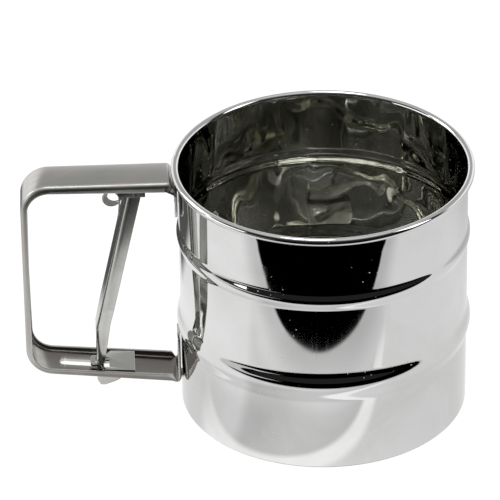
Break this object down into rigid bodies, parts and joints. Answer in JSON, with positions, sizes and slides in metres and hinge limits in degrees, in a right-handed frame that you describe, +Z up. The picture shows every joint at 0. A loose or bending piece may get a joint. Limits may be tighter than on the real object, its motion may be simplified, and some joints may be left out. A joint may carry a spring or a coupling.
{
  "type": "flour sifter",
  "caption": "Hand flour sifter: a beaded sheet steel cup with a wire sieve, and a strip handle whose sprung trigger turns the agitator.",
  "frame": {"origin": "centre of the bounding box's bottom face, on the surface that the cup stands on; the cup's axis stands at x = 0.026", "axes": "+Z up along the cup's axis, +X from the handle towards the cup, Y across the handle"},
  "size_m": [0.1564, 0.1044, 0.092],
  "materials": {
    "polished_steel": "mirror polished tinplate",
    "satin_steel": "satin, slightly dull",
    "bright_steel": "bright drawn or stamped",
    "wire_mesh": "woven wire"
  },
  "bodies": {
    "cup": {"cup_shell": "polished_steel", "screen_ring": "bright_steel", "mesh_screen": "wire_mesh", "under_washer": "bright_steel", "spacer_tube": "bright_steel", "top_washer": "bright_steel", "centre_rivet": "bright_steel", "handle_strip": "satin_steel", "pivot_bracket": "satin_steel", "lever_pin": "bright_steel", "torsion_spring": "bright_steel"},
    "trigger": {"trigger_lever": "satin_steel"},
    "link": {"pull_link": "satin_steel"},
    "agitator": {"agitator_hub": "bright_steel", "agitator_blade_1": "bright_steel", "agitator_blade_2": "bright_steel", "agitator_blade_3": "bright_steel", "agitator_blade_4": "bright_steel", "crank_pin": "bright_steel", "crank_washer": "bright_steel"}
  },
  "joints": [
    {"name": "trigger_hinge", "type": "hinge", "parent": "cup", "child": "trigger", "pos_m": [-0.0386, 0, 0.0859], "axis": [0, 1, 0], "range_deg": [0, 9.5], "stiffness_Nm_per_rad": 0.5, "springref_deg": -17.19, "deforming": ["torsion_spring"]},
    {"name": "link_slide", "type": "slide", "parent": "cup", "child": "link", "axis": [-0.9941, 0, 0.1081], "range_m": [0, 0.0122]},
    {"name": "agitator_spin", "type": "hinge", "parent": "cup", "child": "agitator", "pos_m": [0.026, 0, 0.0128], "axis": [0, 0, 1], "range_deg": [-46, 0]}
  ],
  "couplings": [
    {"joint": "link_slide", "follows": "trigger_hinge", "m_per_rad": 0.07177},
    {"joint": "agitator_spin", "follows": "trigger_hinge", "ratio": -4.7567}
  ]
}
